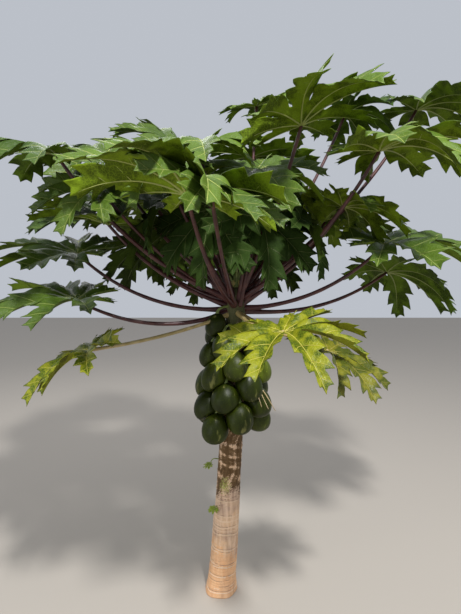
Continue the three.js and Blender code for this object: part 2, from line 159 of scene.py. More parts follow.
# The blade's own detail, in parts of its longest lobe

SHEET = 0.0014  # how thick a blade is, in metres
VEIN_ANGLE = math.radians(55)  # between a rib and its side veins, at the blade's middle
VEIN_ANGLE_AT_TIP = math.radians(35)
JOINED = 0.2  # along a rib, the stretch over which neighbouring lobes are one sheet
BLEND_END = 0.35  # beyond that stretch, how far a lobe still follows its neighbour
BACK_GAP = math.radians(34)  # half the angle left open at the back of the blade
# A lobe's margin past the joined stretch: part of the way to the tip, width along the vein
LONG_MARGIN = [
    (0.06, 0.108), (0.32, 0.285), (0.41, 0.145), (0.58, 0.27), (0.66, 0.11), (0.8, 0.165), (0.87, 0.068),
    (1.0, 0.0),
]
SHORT_MARGIN = [(0.12, 0.15), (0.42, 0.28), (0.52, 0.13), (0.72, 0.185), (0.8, 0.075), (1.0, 0.0)]
BEFORE_POINT = 0.66  # how the margin swells towards a point: under 1 is rounded, over 1 is hollow
PAST_POINT = 1.15
LONG_LOBE = 0.8  # lobes from this length up have the longer margin
ACROSS = np.array([0, 0.3, 0.6, 0.84, 1.0])  # where points lie between a rib and the margin
FOLD = 0.5  # how steeply a lobe's two halves rise from its rib
RECURVE = 3.4  # how much their edges turn down again
QUILT = 0.01  # how far the sheet swells between two side veins
WAVE = 0.022  # how far the margin waves
RIB_RADIUS = 0.0044
RIB_TIP_RADIUS = 0.001
SIDE_VEIN_RADIUS = 0.0023
FULL_BLADE_SIZE = 0.43  # a blade of this size has ribs and veins this thick
RIB_SIDES = 6
RIB_STEPS = 22
VEIN_SIDES = 4
VEIN_STEPS = 5
FIRST_VEIN = 0.1  # where along its rib a lobe's first side veins leave it
HALF_GAP = math.radians(18)  # half the angle between two lobes
VEIN_HALF_GAP = math.radians(17)  # the first side veins end just inside it
BACK_WIDTH = 0.1  # the open side of the two back lobes: its width, and how fast it widens
BACK_WIDENING = 0.5
# How uneven the lobes are: their droop, twist in degrees, sweep to a side, fold and width
DROOP_SWING = 0.22
TWIST = 34
SWEEP = 0.05
FOLD_RANGE = (0.6, 1.3)
WIDTH_RANGE = (0.88, 1.12)
RIPPLES = 15  # waves of the margin, as an angle along the whole lobe
# The source's plain lobes, long and short: points of one side, in parts of the lobe's length
SOURCE_LONG_EDGE = [(0.33, 0.06), (0.5, 0.16), (0.55, 0.07), (0.74, 0.2), (1, 0)]
SOURCE_SHORT_EDGE = [(0.62, 0.17), (1, 0)]

# Colours, as linear red, green and blue

# Each tint of leaf: the upper side, its patches, the underside and the ribs
Tint = namedtuple("Tint", "top patch underside rib")
LEAF_GLOSS = {
    "fresh": 0.32, "green": 0.32, "deep": 0.26, "shade": 0.12, "old": 0.22, "dull": 0.22, "young": 0.26,
}
UNDERSIDE_GLOSS = 0.12
UNDERSIDE_PAINTED_DAPPLE = (1.25, 0.48)  # painted light and shade dappled on the underside: its lit and shaded patches, against its own colour
# Patches of a second colour: how small and fine, and where in the noise they begin and end
PATCHES = {"broad": (8, 4, 0.42, 0.62), "mottled": (23, 5, 0.43, 0.57), "dappled": (11, 3, 0.45, 0.56)}
MOTTLED = ["old", "dull"]
LEAF_TINTS = {
    "fresh": Tint((0.092, 0.15, 0.015), (0.056, 0.1, 0.009), (0.128, 0.19, 0.008), (0.35, 0.39, 0.1)),
    "green": Tint((0.072, 0.12, 0.013), (0.042, 0.078, 0.008), (0.096, 0.15, 0.008), (0.29, 0.33, 0.085)),
    "deep": Tint((0.052, 0.092, 0.012), (0.03, 0.06, 0.008), (0.061, 0.104, 0.006), (0.2, 0.24, 0.06)),
    "shade": Tint((0.024, 0.048, 0.006), (0.015, 0.033, 0.004), (0.028, 0.048, 0.004), (0.085, 0.11, 0.022)),
    "old": Tint((0.205, 0.215, 0.01), (0.058, 0.086, 0.005), (0.15, 0.165, 0.008), (0.46, 0.41, 0.07)),
    "dull": Tint((0.058, 0.072, 0.006), (0.17, 0.165, 0.012), (0.06, 0.066, 0.005), (0.26, 0.22, 0.04)),
    # young leaves' own pale green, made paler still as painted sunlight
    "young": Tint((0.3, 0.37, 0.04), (0.2, 0.28, 0.025), (0.32, 0.38, 0.04), (0.5, 0.52, 0.15)),
}
TINT_OF_LEAF = {
    "fresh": [5, 6, 7, 16, 17],
    "green": [1, 2, 3, 8, 9, 14, 15, 20, 22],
    "deep": [10, 13, 18, 21, 27],
    "shade": [19, 23, 24, 25, 26],
    "old": [4, 11],
    "dull": [12],
    "young": [],
}
OLD_LEAVES = TINT_OF_LEAF["old"] + TINT_OF_LEAF["dull"]
BLADE_SLOTS = {"old": "old_leaf", "dull": "old_leaf", "young": "young_shoots"}
OLD_LEAF_SLIM = 0.84  # how wide an old leaf's lobes are, against the others


def smooth_step(low, high, value):
    part = np.clip((value - low) / (high - low), 0, 1)
    return part * part * (3 - 2 * part)


def unit(vectors):
    return vectors / np.linalg.norm(vectors, axis=-1, keepdims=True)


def heading(azimuth, rise=0):
    """The direction at an azimuth and a rise, in degrees"""
    turn = math.radians(azimuth)
    flat = math.cos(math.radians(rise))
    return np.array([flat * math.cos(turn), flat * math.sin(turn), math.sin(math.radians(rise))])


def numbered(name, number):
    return f"{name}_{number:02d}"


# Meshes


def new_object(name, data):
    made = bpy.data.objects.new(name, data)
    bpy.context.scene.collection.objects.link(made)
    return made


class Gather:
    """Points and faces of many shapes, gathered for one mesh"""

    def __init__(self):
        self.points = []
        self.faces = []
        self.tints = []
        self.count = 0

    def add(self, points, faces, tint=0):
        points = np.reshape(points, (-1, 3))
        start = self.count
        self.points.append(points)
        self.faces.extend([tuple(corner + start for corner in face) for face in faces])
        self.tints.extend([tint] * len(faces))
        self.count += len(points)

    def piece(self, name, materials, slot, weld=0):
        """One mesh of them all: closed shapes are turned outwards, open sheets welded"""
        mesh = bpy.data.meshes.new(name)
        mesh.from_pydata(np.concatenate(self.points).tolist(), [], self.faces)
        for material in materials:
            mesh.materials.append(material)
        mesh.polygons.foreach_set("material_index", self.tints)
        mesh.polygons.foreach_set("use_smooth", [True] * len(self.faces))
        work = bmesh.new()
        work.from_mesh(mesh)
        if weld:
            bmesh.ops.remove_doubles(work, verts=work.verts, dist=weld)
        else:
            bmesh.ops.recalc_face_normals(work, faces=work.faces)
        work.to_mesh(mesh)
        work.free()
        piece = new_object(name, mesh)
        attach(piece, "root")
        return piece


def apply_modifiers(piece):
    depsgraph = bpy.context.evaluated_depsgraph_get()
    mesh = bpy.data.meshes.new_from_object(piece.evaluated_get(depsgraph))
    piece.modifiers.clear()
    piece.data = mesh


def grid_faces(rows, columns, wrap=False):
    """Quads of a grid of points that are stored row by row"""
    index = np.arange(rows * columns).reshape(rows, columns)
    if wrap:
        index = np.hstack([index, index[:, :1]])
    quads = np.stack([index[:-1, :-1], index[:-1, 1:], index[1:, 1:], index[1:, :-1]], axis=-1)
    return quads.reshape(-1, 4).tolist()


def tube(gather, points, radii, sides, sideways):
    """A closed round limb along a line; the rings start from a direction sideways of it"""
    points = np.asarray(points, dtype=float)
    ahead = unit(np.gradient(points, axis=0))
    top = unit(np.cross(ahead, sideways))
    side = np.cross(top, ahead)
    turn = full_turn(sides)[:, None]
    ring = np.cos(turn) * side[:, None] + np.sin(turn) * top[:, None]
    rings = points[:, None] + np.asarray(radii)[:, None, None] * ring
    faces = grid_faces(len(points), sides, wrap=True)
    last = (len(points) - 1) * sides
    faces.append(list(range(sides)))
    faces.append(list(range(last + sides - 1, last - 1, -1)))
    gather.add(rings, faces)


def full_turn(steps):
    return 2 * math.pi * np.arange(steps) / steps


def bezier(ends, part):
    first, second, third, fourth = ends
    part = np.asarray(part)[:, None]
    rest = 1 - part
    return rest**3 * first + 3 * rest**2 * part * second + 3 * rest * part**2 * third + part**3 * fourth


def twig(gather, ends, radii, sides, azimuth):
    """A tube along a curve, with a step for each radius"""
    line = bezier(ends, np.linspace(0, 1, len(radii)))
    tube(gather, line, radii, sides, heading(azimuth + 90))


def ball(gather, centre, radii, sides, rings, tint):
    """A closed egg, with its poles up and down"""
    rise = np.linspace(-math.pi / 2, math.pi / 2, rings)[1:-1, None]
    turn = full_turn(sides)
    across = np.cos(rise)
    body = np.stack([across * np.cos(turn), across * np.sin(turn), np.sin(rise) + 0 * turn], axis=-1)
    close_ends(gather, centre + body * radii, centre - [0, 0, radii[2]], centre + [0, 0, radii[2]], tint)


def close_ends(gather, grid, bottom, top, tint=0):
    """A grid of closed rings, with a point at each end"""
    rows, sides = grid.shape[:2]
    points = np.concatenate([grid.reshape(-1, 3), [bottom, top]])
    faces = grid_faces(rows, sides, wrap=True)
    low = rows * sides
    for i in range(sides):
        ahead = (i + 1) % sides
        faces.append((low, ahead, i))
        faces.append((low + 1, (rows - 1) * sides + i, (rows - 1) * sides + ahead))
    gather.add(points, faces, tint)


# Materials


class Shader:
    """A material's nodes, made and linked in short lines"""

    def __init__(self, name):
        self.material = bpy.data.materials.new(name)
        self.material.use_nodes = True
        self.tree = self.material.node_tree
        self.surface = self.tree.nodes["Principled BSDF"]
        self.place = self.node("ShaderNodeTexCoord").outputs["Object"]

    def node(self, kind, inputs=(), **settings):
        node = self.tree.nodes.new(kind)
        for name, value in settings.items():
            setattr(node, name, value)
        for socket, value in dict(inputs).items():
            if isinstance(value, bpy.types.NodeSocket):
                self.tree.links.new(value, node.inputs[socket])
            else:
                node.inputs[socket].default_value = value
        return node

    def stretched(self, scale):
        return self.node("ShaderNodeMapping", {"Vector": self.place, "Scale": scale}).outputs[0]

    def noise(self, scale, detail=4, place=None):
        inputs = {"Vector": place or self.place, "Scale": scale, "Detail": detail}
        return self.node("ShaderNodeTexNoise", inputs).outputs["Fac"]

    def ranged(self, value, low, high, to_low, to_high):
        inputs = {"Value": value, "From Min": low, "From Max": high, "To Min": to_low, "To Max": to_high}
        return self.node("ShaderNodeMapRange", inputs).outputs["Result"]

    def spots(self, scale, detail, low, high, most=1, place=None):
        """None where the noise is under the low value, the most over the high one"""
        return self.ranged(self.noise(scale, detail, place), low, high, 0, most)

    def rough(self, scale, low, high):
        return self.ranged(self.noise(scale), 0.3, 0.7, low, high)

    def mixed(self, part, first, second):
        inputs = {0: part}
        for socket, value in ((6, first), (7, second)):
            inputs[socket] = (*value, 1) if isinstance(value, tuple) else value
        return self.node("ShaderNodeMix", inputs, data_type="RGBA").outputs[2]

    def bump(self, height, distance, strength, over=None):
        inputs = {"Height": height, "Distance": distance, "Strength": strength}
        if over:
            inputs["Normal"] = over
        return self.node("ShaderNodeBump", inputs).outputs["Normal"]

    def finish(self, colour, roughness, normal, **plain):
        for socket, value in (("Base Color", colour), ("Roughness", roughness), ("Normal", normal)):
            self.tree.links.new(value, self.surface.inputs[socket])
        for socket, value in plain.items():
            self.surface.inputs[socket.replace("_", " ")].default_value = value
        return self.material


def scaled(colour, factor):
    return tuple(min(1.0, channel * factor) for channel in colour)


def blade_material(name, colour, patch, gloss, pattern):
    """A leaf's green: patchy, with a net of small veins, and waxy on its upper side"""
    shader = Shader(name)
    glossy = gloss > UNDERSIDE_GLOSS
    green = shader.mixed(shader.spots(*PATCHES[pattern]), colour, patch)
    inputs = {"Vector": shader.place, "Scale": 95}
    cells = shader.node("ShaderNodeTexVoronoi", inputs, feature="DISTANCE_TO_EDGE")
    net = shader.ranged(cells.outputs["Distance"], 0, 0.09, 1, 0)
    veined = shader.mixed(shader.ranged(net, 0, 1, 0, 0.35), green, scaled(colour, 1.9))
    smoothest = 0.34 if glossy else 0.62
    roughness = shader.rough(40, smoothest, smoothest + 0.18)
    swells = shader.bump(shader.noise(34, 2), 0.006 if glossy else 0.002, 0.6)
    fine = shader.bump(shader.noise(260), 0.0004, 0.5, swells)
    normal = shader.bump(net, 0.0008, 0.55, fine)
    return shader.finish(veined, roughness, normal, Specular_IOR_Level=gloss)


def rib_material(name, colour):
    shader = Shader(name)
    patches = shader.spots(30, 3, 0.35, 0.65)
    tone = shader.mixed(patches, scaled(colour, 0.85), scaled(colour, 1.12))
    roughness = shader.rough(60, 0.42, 0.56)
    return shader.finish(tone, roughness, shader.bump(shader.noise(300), 0.0003, 0.4))


def stalk_material(name, colour, pale):
    """A leaf stalk's skin: waxy, with paler flecks and streaks"""
    shader = Shader(name)
    streaks = shader.spots(24, 4, 0.4, 0.72)
    tone = shader.mixed(streaks, colour, pale)
    flecks = shader.spots(210, 2, 0.62, 0.72, 0.45)
    flecked = shader.mixed(flecks, tone, scaled(pale, 1.5))
    roughness = shader.rough(50, 0.32, 0.5)
    return shader.finish(flecked, roughness, shader.bump(shader.noise(180), 0.0005, 0.5))


def bark_material(name, colour, second, pale):
    """Smooth soft bark: upright streaks, blotches, small pores and fine cracks"""
    shader = Shader(name)
    upright = shader.stretched((1, 1, 0.12))
    streaks = shader.spots(70, 6, 0.35, 0.68, 0.6, upright)
    tone = shader.mixed(shader.spots(11, 4, 0.42, 0.62), colour, second)
    streaked = shader.mixed(streaks, tone, pale)
    pores = shader.spots(330, 2, 0.6, 0.7, 0.5)
    spotted = shader.mixed(pores, streaked, scaled(colour, 0.45))
    roughness = shader.rough(45, 0.72, 0.92)
    cracks = shader.bump(shader.noise(150, 6, upright), 0.0016, 0.7)
    normal = shader.bump(shader.noise(420), 0.0006, 0.6, cracks)
    return shader.finish(spotted, roughness, normal, Specular_IOR_Level=0.25)


def fruit_material(name, colour):
    """Green papaya skin: waxy, faintly streaked, with pale painted highlight streaks and pale pores"""
    shader = Shader(name)
    upright = shader.stretched((1, 1, 0.25))
    streaks = shader.spots(26, 3, 0.38, 0.66, place=upright)
    tone = shader.mixed(streaks, scaled(colour, 0.72), scaled(colour, 1.28))
    # pale upright streaks painted as highlights
    highlight_streaks = shader.spots(34, 3, 0.62, 0.7, 0.45, upright)
    streaked = shader.mixed(highlight_streaks, tone, HIGHLIGHT_STREAK_COLOUR)
    pores = shader.spots(190, 2, 0.64, 0.7, 0.6)
    spotted = shader.mixed(pores, streaked, scaled(colour, 3.2))
    roughness = shader.rough(18, 0.34, 0.52)
    dimples = shader.bump(shader.noise(22, 2), 0.004, 0.5)
    normal = shader.bump(shader.noise(120), 0.0005, 0.35, dimples)
    return shader.finish(spotted, roughness, normal, Specular_IOR_Level=0.2)


def plain_material(name, colour, roughness_low, bump_scale):
    shader = Shader(name)
    patches = shader.spots(60, 3, 0.35, 0.65)
    tone = shader.mixed(patches, scaled(colour, 0.8), scaled(colour, 1.2))
    roughness = shader.rough(80, roughness_low, roughness_low + 0.15)
    return shader.finish(tone, roughness, shader.bump(shader.noise(bump_scale), 0.0005, 0.5))


# Trunk

TRUNK_COLUMNS = 120
TRUNK_ROWS = 480
FLARE_HEIGHT = 0.1
BARK_SUNK = 0.001  # the bark's own level, under the plain solid's
LOWEST_RING = 0.02
RINGS_BELOW_TOP = 0.06
RING_SPACING = 0.012  # at the trunk's foot; it widens to twice this
RING_WIDENS_TO = 0.6
RING_DEPTH = 0.0024
RING_WAVE = 0.0015
GROOVE_HALF_WIDTH = 0.0022
RIDGE_HALF_WIDTH = 0.004
RIDGE_BELOW = 0.0055  # how far each ridge lies under its groove
GROOVE_FROM = 0.55  # from this part of the ring depth a groove is dark, and from the next a ridge pale
RIDGE_FROM = 0.38
CLOSE_RINGS = 0.37  # round this height more of the rings are pale
CLOSE_RINGS_REACH = 0.09
SCAR_LOWEST = 0.09
SCAR_HIGHEST = 1.36
SCAR_RISE = 0.031  # from one leaf scar to the next
SCAR_FIRST_AZIMUTH = 20
SCAR_HALF_WIDTH = 0.04
SCAR_HALF_HEIGHT = 0.01
SCAR_SAG = 0.007
SCAR_SWELL = 0.0016
SCAR_HOLLOW = 0.0011
FOOT_TOP = 0.23  # the bark has the soil's tone below this
CROWN_SHADOW_FROM = 0.53  # above this it is dark brown, painted as the crown's shadow, with pale painted sun flecks
GREEN_FROM = 1.3  # and green above this, a green darkened as painted shade under the stalks
HALF_LIT_FLECK_FROM = 0.08  # the painted shadow's patches are lighter, as half-lit painted sun flecks, from this value of their waves
SUN_FLECK_FROM = 0.62  # and pale, as fully lit painted sun flecks in the plain bark's skin, from this one
LICHEN_AZIMUTH = 252
LICHEN_HEIGHT = 0.56
LICHEN_HALF_ANGLE = 0.5
LICHEN_HALF_HEIGHT = 0.045
# The bark's skins: their colour, blotches and pale streaks
BARK_SKINS = {
    # the plain bark and its foot: their own pale tan, made paler still as painted sunlight
    "bark": ((0.68, 0.44, 0.265), (0.42, 0.27, 0.195), (0.9, 0.68, 0.49)),
    "bark_foot": ((0.76, 0.42, 0.215), (0.58, 0.33, 0.19), (0.86, 0.57, 0.33)),
    # dark brown painted as the crown's shadow on the trunk
    "bark_crown_shadow": ((0.115, 0.062, 0.024), (0.07, 0.037, 0.013), (0.22, 0.135, 0.063)),
    "bark_ridge": ((0.76, 0.54, 0.36), (0.64, 0.45, 0.3), (0.82, 0.63, 0.45)),
    "bark_groove": ((0.34, 0.21, 0.145), (0.27, 0.17, 0.12), (0.45, 0.31, 0.22)),
    # the trunk top's own green, darkened as painted shade under the leaf stalks
    "bark_green_shaded": ((0.085, 0.09, 0.035), (0.06, 0.066, 0.026), (0.15, 0.14, 0.07)),
    # half-lit painted sun flecks in that painted shadow
    "bark_half_lit_fleck": ((0.22, 0.13, 0.062), (0.15, 0.087, 0.038), (0.36, 0.24, 0.135)),
    "bark_lichen": ((0.38, 0.37, 0.08), (0.28, 0.28, 0.06), (0.5, 0.48, 0.18)),
}
PLAIN, FOOT, CROWN_SHADOW, RIDGE, GROOVE, GREEN, HALF_LIT_FLECK, LICHEN = range(len(BARK_SKINS))


def lean_at(height):
    return TRUNK_LEAN * height - TRUNK_STRAIGHTEN * height**2


def trunk_radius_at(height):
    return np.interp(height, TRUNK_LEVELS, TRUNK_RADII)


def beside_trunk(azimuth, off, height):
    point = heading(azimuth) * (trunk_radius_at(height) + off)
    return point + [lean_at(height), 0, height]


def smooth_trunk_radius(height):
    """The taper with its corners rounded off"""
    shifts = np.linspace(-0.03, 0.03, 7)
    return np.mean([trunk_radius_at(np.clip(height + shift, 0, TRUNK_TOP)) for shift in shifts], axis=0)


def ring_relief(turn, height, chance):
    """Shallow wavy grooves round the trunk, close together at its foot"""
    relief = np.zeros_like(turn)
    level = LOWEST_RING
    while level < TRUNK_TOP - RINGS_BELOW_TOP:
        spacing = RING_SPACING + RING_SPACING * min(1, level / RING_WIDENS_TO)
        level += spacing * chance.uniform(0.65, 1.35)
        phase = chance.uniform(0, 2 * math.pi)
        tilt = chance.uniform(0.001, 0.004)
        depth = RING_DEPTH * chance.uniform(0.35, 1.0)
        line = level + tilt * np.sin(turn + phase) + RING_WAVE * np.sin(3 * turn + 2 * phase)
        relief -= depth * np.exp(-((height - line) / GROOVE_HALF_WIDTH) ** 2)
        relief += 0.5 * depth * np.exp(-((height - line + RIDGE_BELOW) / RIDGE_HALF_WIDTH) ** 2)
    return relief


def scar_field(turn, height, radius):
    """How near each point is to the middle of a leaf scar: 1 there, 0 at its edge"""
    field = np.full_like(turn, -1.0)
    for i in range(int((SCAR_HIGHEST - SCAR_LOWEST) / SCAR_RISE)):
        level = SCAR_LOWEST + SCAR_RISE * i
        azimuth = math.radians(GOLDEN_ANGLE * i + SCAR_FIRST_AZIMUTH)
        aside = ((turn - azimuth + math.pi) % (2 * math.pi) - math.pi) * radius
        across = (aside / SCAR_HALF_WIDTH) ** 2
        up = height - level - SCAR_SAG * across
        field = np.maximum(field, 1 - (across + (up / SCAR_HALF_HEIGHT) ** 2))
    return field


def bark_skins(turn, height, rings, scars, chance):
    """The bark's skin at each point: bands with ragged edges, a painted crown shadow with patches of painted
    sun flecks, rings and scars
    """
    wander = 0.03 * np.sin(2 * turn + 14 * height) + 0.018 * np.sin(5 * turn - 43 * height)
    ragged = height + wander + chance.normal(0, 0.022, height.shape)
    twisted = turn + 0.35 * np.sin(27 * height)
    # waves that place the painted sun flecks in the painted crown shadow
    patches = np.sin(3 * twisted + 46 * height + 1) * np.sin(2 * turn - 61 * height)
    patches = patches + 0.7 * np.sin(5 * turn - 118 * height + 2) * np.sin(9 * twisted + 71 * height)
    patches = patches + chance.normal(0, 0.24, height.shape)
    skins = np.zeros(height.shape, dtype=int)
    skins[ragged < FOOT_TOP] = FOOT
    # painted crown shadow above a ragged line, broken by half-lit and fully lit painted sun flecks
    skins[ragged > CROWN_SHADOW_FROM] = CROWN_SHADOW
    skins[(skins == CROWN_SHADOW) & (patches > HALF_LIT_FLECK_FROM)] = HALF_LIT_FLECK
    skins[(skins == HALF_LIT_FLECK) & (patches > SUN_FLECK_FROM)] = PLAIN
    skins[ragged > GREEN_FROM] = GREEN
    close_rings = np.exp(-(((height - CLOSE_RINGS) / CLOSE_RINGS_REACH) ** 2))
    pale_rings = rings > RIDGE_FROM * (1 - 0.5 * close_rings) * RING_DEPTH
    skins[pale_rings & (skins < CROWN_SHADOW)] = RIDGE
    skins[(rings < -GROOVE_FROM * RING_DEPTH) & (skins < CROWN_SHADOW)] = GROOVE
    skins[(scars > 0.02) & (scars < 0.24) & (skins < CROWN_SHADOW)] = RIDGE
    aside = (turn - math.radians(LICHEN_AZIMUTH)) / LICHEN_HALF_ANGLE
    lichen = np.exp(-(aside**2) - ((height - LICHEN_HEIGHT) / LICHEN_HALF_HEIGHT) ** 2)
    skins[lichen > chance.uniform(0.25, 1.3, height.shape)] = LICHEN
    return skins


def make_trunk():
    chance = np.random.RandomState(5)
    heights = np.concatenate([[0], np.linspace(0.004, TRUNK_TOP - 0.001, TRUNK_ROWS)])
    height, turn = np.meshgrid(heights, full_turn(TRUNK_COLUMNS), indexing="ij")
    radius = smooth_trunk_radius(height)
    flare = smooth_step(FLARE_HEIGHT, 0, height)
    rings = ring_relief(turn, height, chance)
    scars = scar_field(turn, height, radius)
    side_skins = bark_skins(turn, height, rings, scars, chance)[:-1].ravel().tolist()
    relief = rings + SCAR_SWELL * smooth_step(0, 0.35, scars) - SCAR_HOLLOW * smooth_step(0.55, 0.9, scars)
    relief += 0.0012 * np.sin(2 * turn + 9 * height) + 0.0007 * np.sin(5 * turn - 23 * height)
    relief += 0.002 * flare * np.sin(5 * turn + 1)
    relief = relief * smooth_step(TRUNK_TOP, TRUNK_TOP - 0.08, height)
    radius = radius + relief - BARK_SUNK
    points = np.stack([radius * np.cos(turn) + lean_at(height), radius * np.sin(turn), height], axis=-1)
    gather = Gather()
    close_ends(gather, points, [0, 0, 0], [lean_at(TRUNK_TOP), 0, TRUNK_TOP])
    gather.tints[:len(side_skins)] = side_skins
    skins = [bark_material(f"{name}_skin", *colours) for name, colours in BARK_SKINS.items()]
    piece = gather.piece("trunk_bark", skins, "bark")
    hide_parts("trunk")


# Leaf stalks

STALK_COLLAR = 0.04  # the swollen foot, as a part of the stalk's length
STALK_SIDES = 14
STALK_STEPS = np.concatenate([np.linspace(0, 0.16, 12), np.linspace(0.19, 1, 30)])


def stalk_foot_height(leaf):
    lower = sum(other.height < leaf.height for other in LEAVES)
    return STALK_LOWEST + STALK_SPAN * lower / (len(LEAVES) - 1)


def blade_centre(leaf):
    return heading(leaf.azimuth) * leaf.reach + [lean_at(STALK_LOWEST), 0, leaf.height]


def stalk_line(leaf, part):
    foot = beside_trunk(leaf.azimuth, -ROOT_DEPTH, stalk_foot_height(leaf))
    tip = blade_centre(leaf)
    chord = np.linalg.norm(tip - foot)
    rise = math.degrees(math.asin((tip[2] - foot[2]) / chord))
    first = foot + heading(leaf.azimuth, rise - leaf.bow) * chord * STALK_LEAVES
    last = tip - heading(leaf.azimuth, rise + leaf.bow) * chord * STALK_ARRIVES
    return bezier([foot, first, last, tip], part)


def make_stalks(name, numbers, more, skin, slot):
    gather = Gather()
    for number, leaf in enumerate([LEAVES[number - 1] for number in numbers] + more):
        stout = min(1, leaf.size / FULL_STALK_SIZE)
        widest = STALK_BASE_RADIUS * stout
        sizes = [widest * 1.12, widest * 0.98, STALK_RADIUS * stout, STALK_TIP_RADIUS]
        radii = np.interp(STALK_STEPS, [0, STALK_COLLAR, STALK_FOOT, 1], sizes)
        radii = radii * (1 + 0.03 * np.sin(STALK_STEPS * 40 + number))
        tube(gather, stalk_line(leaf, STALK_STEPS), radii, STALK_SIDES, heading(leaf.azimuth + 90))
    piece = gather.piece(name, [skin], slot)
    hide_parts(*[numbered("leaf_stalk", number) for number in numbers])


# Blades


def turned_by(axis, along, out):
    """A flat place given along and across an axis, in the axis's own plane"""
    return along * math.cos(axis) - out * math.sin(axis), along * math.sin(axis) + out * math.cos(axis)


class Blade:
    """One leaf blade's place, frame and bends"""

    def __init__(self, centre, azimuth, size, pitch, roll, droop, number, rise=LOBE_RISE, slim=1.0):
        self.centre = centre
        self.size = size
        self.rise = rise
        self.out = heading(azimuth, pitch)
        flat_side = heading(azimuth + 90)
        turn = math.radians(roll)
        self.side = flat_side * math.cos(turn) + np.cross(self.out, flat_side) * math.sin(turn)
        self.normal = np.cross(self.out, self.side)
        self.curvatures = []
        for lobe in LOBES:
            swing = math.sin(number * 2.4 + lobe.turn * 1.9) * DROOP_SWING
            self.curvatures.append(math.radians(droop * (1 + swing) * lobe.length) / size)
        chance = np.random.RandomState(100 + number)
        self.twists = np.radians(chance.uniform(-TWIST, TWIST, len(LOBES)))
        self.sweeps = chance.uniform(-SWEEP, SWEEP, len(LOBES))
        self.folds = FOLD * chance.uniform(*FOLD_RANGE, len(LOBES))
        self.phases = chance.uniform(0, 6.28, (len(LOBES), 2))
        self.widths = slim * chance.uniform(*WIDTH_RANGE, (len(LOBES), 2))

    def bent(self, lobe, along, across, lift):
        """A point of the flat blade, bent with its lobe along an arc of even curvature"""
        axis = math.radians(LOBES[lobe].angle)
        curvature = self.curvatures[lobe]
        slope = self.rise - curvature * along
        run = (math.sin(self.rise) - np.sin(slope)) / curvature - lift * np.sin(slope)
        up = (np.cos(slope) - math.cos(self.rise)) / curvature + lift * np.cos(slope)
        outward, sideways = turned_by(axis, run, across)
        flat = outward[..., None] * self.out + sideways[..., None] * self.side
        return self.centre + flat + up[..., None] * self.normal

    def lobe_point(self, lobe, x, y, above=0):
        """A point of the flat blade, given a lobe's fold, swell, wave and twist, then bent"""
        axis = math.radians(LOBES[lobe].angle)
        along, across = turned_by(-axis, x, y)
        part = np.clip(along / LOBES[lobe].length, 0, 1.15)
        off = np.abs(across)
        side = (across > 0).astype(int)
        fold = self.folds[lobe] * (0.35 + 0.65 * smooth_step(0, 0.4, part))
        lift = fold * off - RECURVE * off**3
        vein = along - off / math.tan(VEIN_ANGLE)
        nearest = np.min([np.abs(vein - place) for place in vein_places(lobe)], axis=0)
        lift = lift + QUILT * (1 - np.exp(-((nearest / 0.03) ** 2))) * smooth_step(0, 0.05, off)
        ripple = np.sin(RIPPLES * part + self.phases[lobe][side])
        lift = lift + WAVE * ripple * (off / 0.2) ** 2
        across = across + self.sweeps[lobe] * part**2
        twist = self.twists[lobe] * smooth_step(0.15, 1.0, part)
        turned = across * np.cos(twist) - lift * np.sin(twist)
        raised = across * np.sin(twist) + lift * np.cos(twist)
        return self.bent(lobe, along * self.size, turned * self.size, raised * self.size + above)

    def point(self, lobe, side, x, y):
        """The same, running smoothly into the neighbouring lobe where the two are joined"""
        own = self.lobe_point(lobe, x, y)
        beside = lobe + side
        if not 0 <= beside < len(LOBES):
            return own
        other = self.lobe_point(beside, x, y)
        half_gap = abs(LOBES[beside].angle - LOBES[lobe].angle) / 2
        away = np.abs(np.degrees(np.arctan2(y, x)) - LOBES[lobe].angle) / half_gap
        share = 0.5 * smooth_step(0, 1, away)
        reach = np.hypot(x, y)
        joined = JOINED * math.sin(VEIN_ANGLE) / math.sin(VEIN_ANGLE - math.radians(half_gap))
        share = share * (1 - smooth_step(joined, joined + BLEND_END, reach))
        return own + share[..., None] * (other - own)


def margin_of(lobe):
    return LONG_MARGIN if LOBES[lobe].length > LONG_LOBE else SHORT_MARGIN


def vein_places(lobe):
    """Where along its rib a lobe's side veins leave it: one for each point of the margin"""
    knots = margin_of(lobe)
    free = LOBES[lobe].length - JOINED
    places = [FIRST_VEIN]
    for before, knot, after in zip(knots, knots[1:], knots[2:]):
        if knot[1] > before[1] and knot[1] > after[1]:
            places.append(JOINED + knot[0] * free)
    return places


def margin_rows(lobe):
    """The rows of points along the rib, and how far out the free margin is there"""
    length = LOBES[lobe].length
    free = length - JOINED
    knots = [(0, joined_width(JOINED, HALF_GAP) / length)] + margin_of(lobe)
    places = []
    widths = []
    for (near, near_width), (far, far_width) in zip(knots, knots[1:]):
        for part in (0, 0.2, 0.4, 0.6, 0.8):
            falling = near_width > far_width
            risen = (1 - part) ** PAST_POINT if falling else part**BEFORE_POINT
            low = min(near_width, far_width)
            places.append(JOINED + (near + part * (far - near)) * free)
            widths.append(length * (low + (max(near_width, far_width) - low) * risen))
    return np.array(places + [length]), np.array(widths + [0.0])


def joined_width(place, half_gap):
    """How far along a side vein the line between two lobes lies"""
    return place * math.sin(half_gap) / math.sin(VEIN_ANGLE - half_gap)


